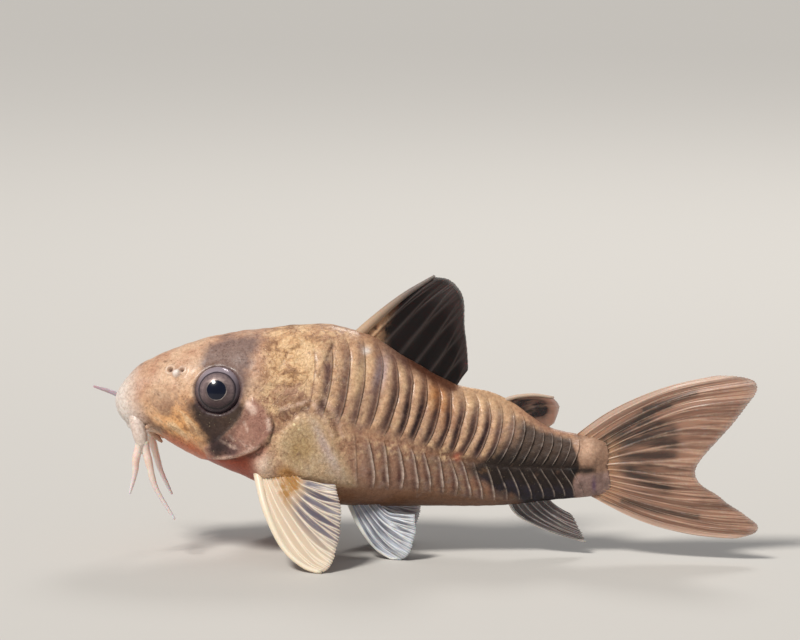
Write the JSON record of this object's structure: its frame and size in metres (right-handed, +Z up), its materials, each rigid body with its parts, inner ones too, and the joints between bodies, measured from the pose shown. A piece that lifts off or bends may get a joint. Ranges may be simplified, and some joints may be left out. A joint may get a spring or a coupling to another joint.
{
  "type": "corydoras catfish",
  "caption": "Life-size still model of a small armoured corydoras catfish resting on its fins, with barbels, rows of scutes and a forked tail.",
  "frame": {"origin": "on the ground under the middle of the whole model's box, snout to tail and side to side", "axes": "-X is the way the fish faces, -Y is its left, +Z is up; it rests on the plane z = 0"},
  "size_m": [0.0538, 0.02, 0.0227],
  "materials": {
    "tan_skin": "wet satin, pinkish tan with fine speckles",
    "golden_flank": "wet satin, golden tan with a slight sheen",
    "charcoal_stalk": "wet satin, charcoal brown",
    "eye": "glossy, dark pupil in a silver ring",
    "blackish_fin": "satin",
    "grey_fin": "satin",
    "tan_fin": "satin, translucent",
    "cream_fin": "satin, translucent",
    "bluish_fin": "satin, translucent",
    "barbel": "satin"
  },
  "bodies": {
    "root": {"head": "tan_skin", "torso": "golden_flank", "tail": "charcoal_stalk", "left_eye": "eye", "right_eye": "eye", "dorsal_fin": "blackish_fin", "adipose_fin": "grey_fin", "upper_tail_fin": "tan_fin", "lower_tail_fin": "tan_fin", "anal_fin": "cream_fin", "left_pectoral_fin": "cream_fin", "right_pectoral_fin": "cream_fin", "left_pelvic_fin": "bluish_fin", "right_pelvic_fin": "bluish_fin", "left_front_barbel": "barbel", "left_rear_barbel": "barbel", "right_front_barbel": "barbel", "right_rear_barbel": "barbel"}
  },
  "joints": []
}
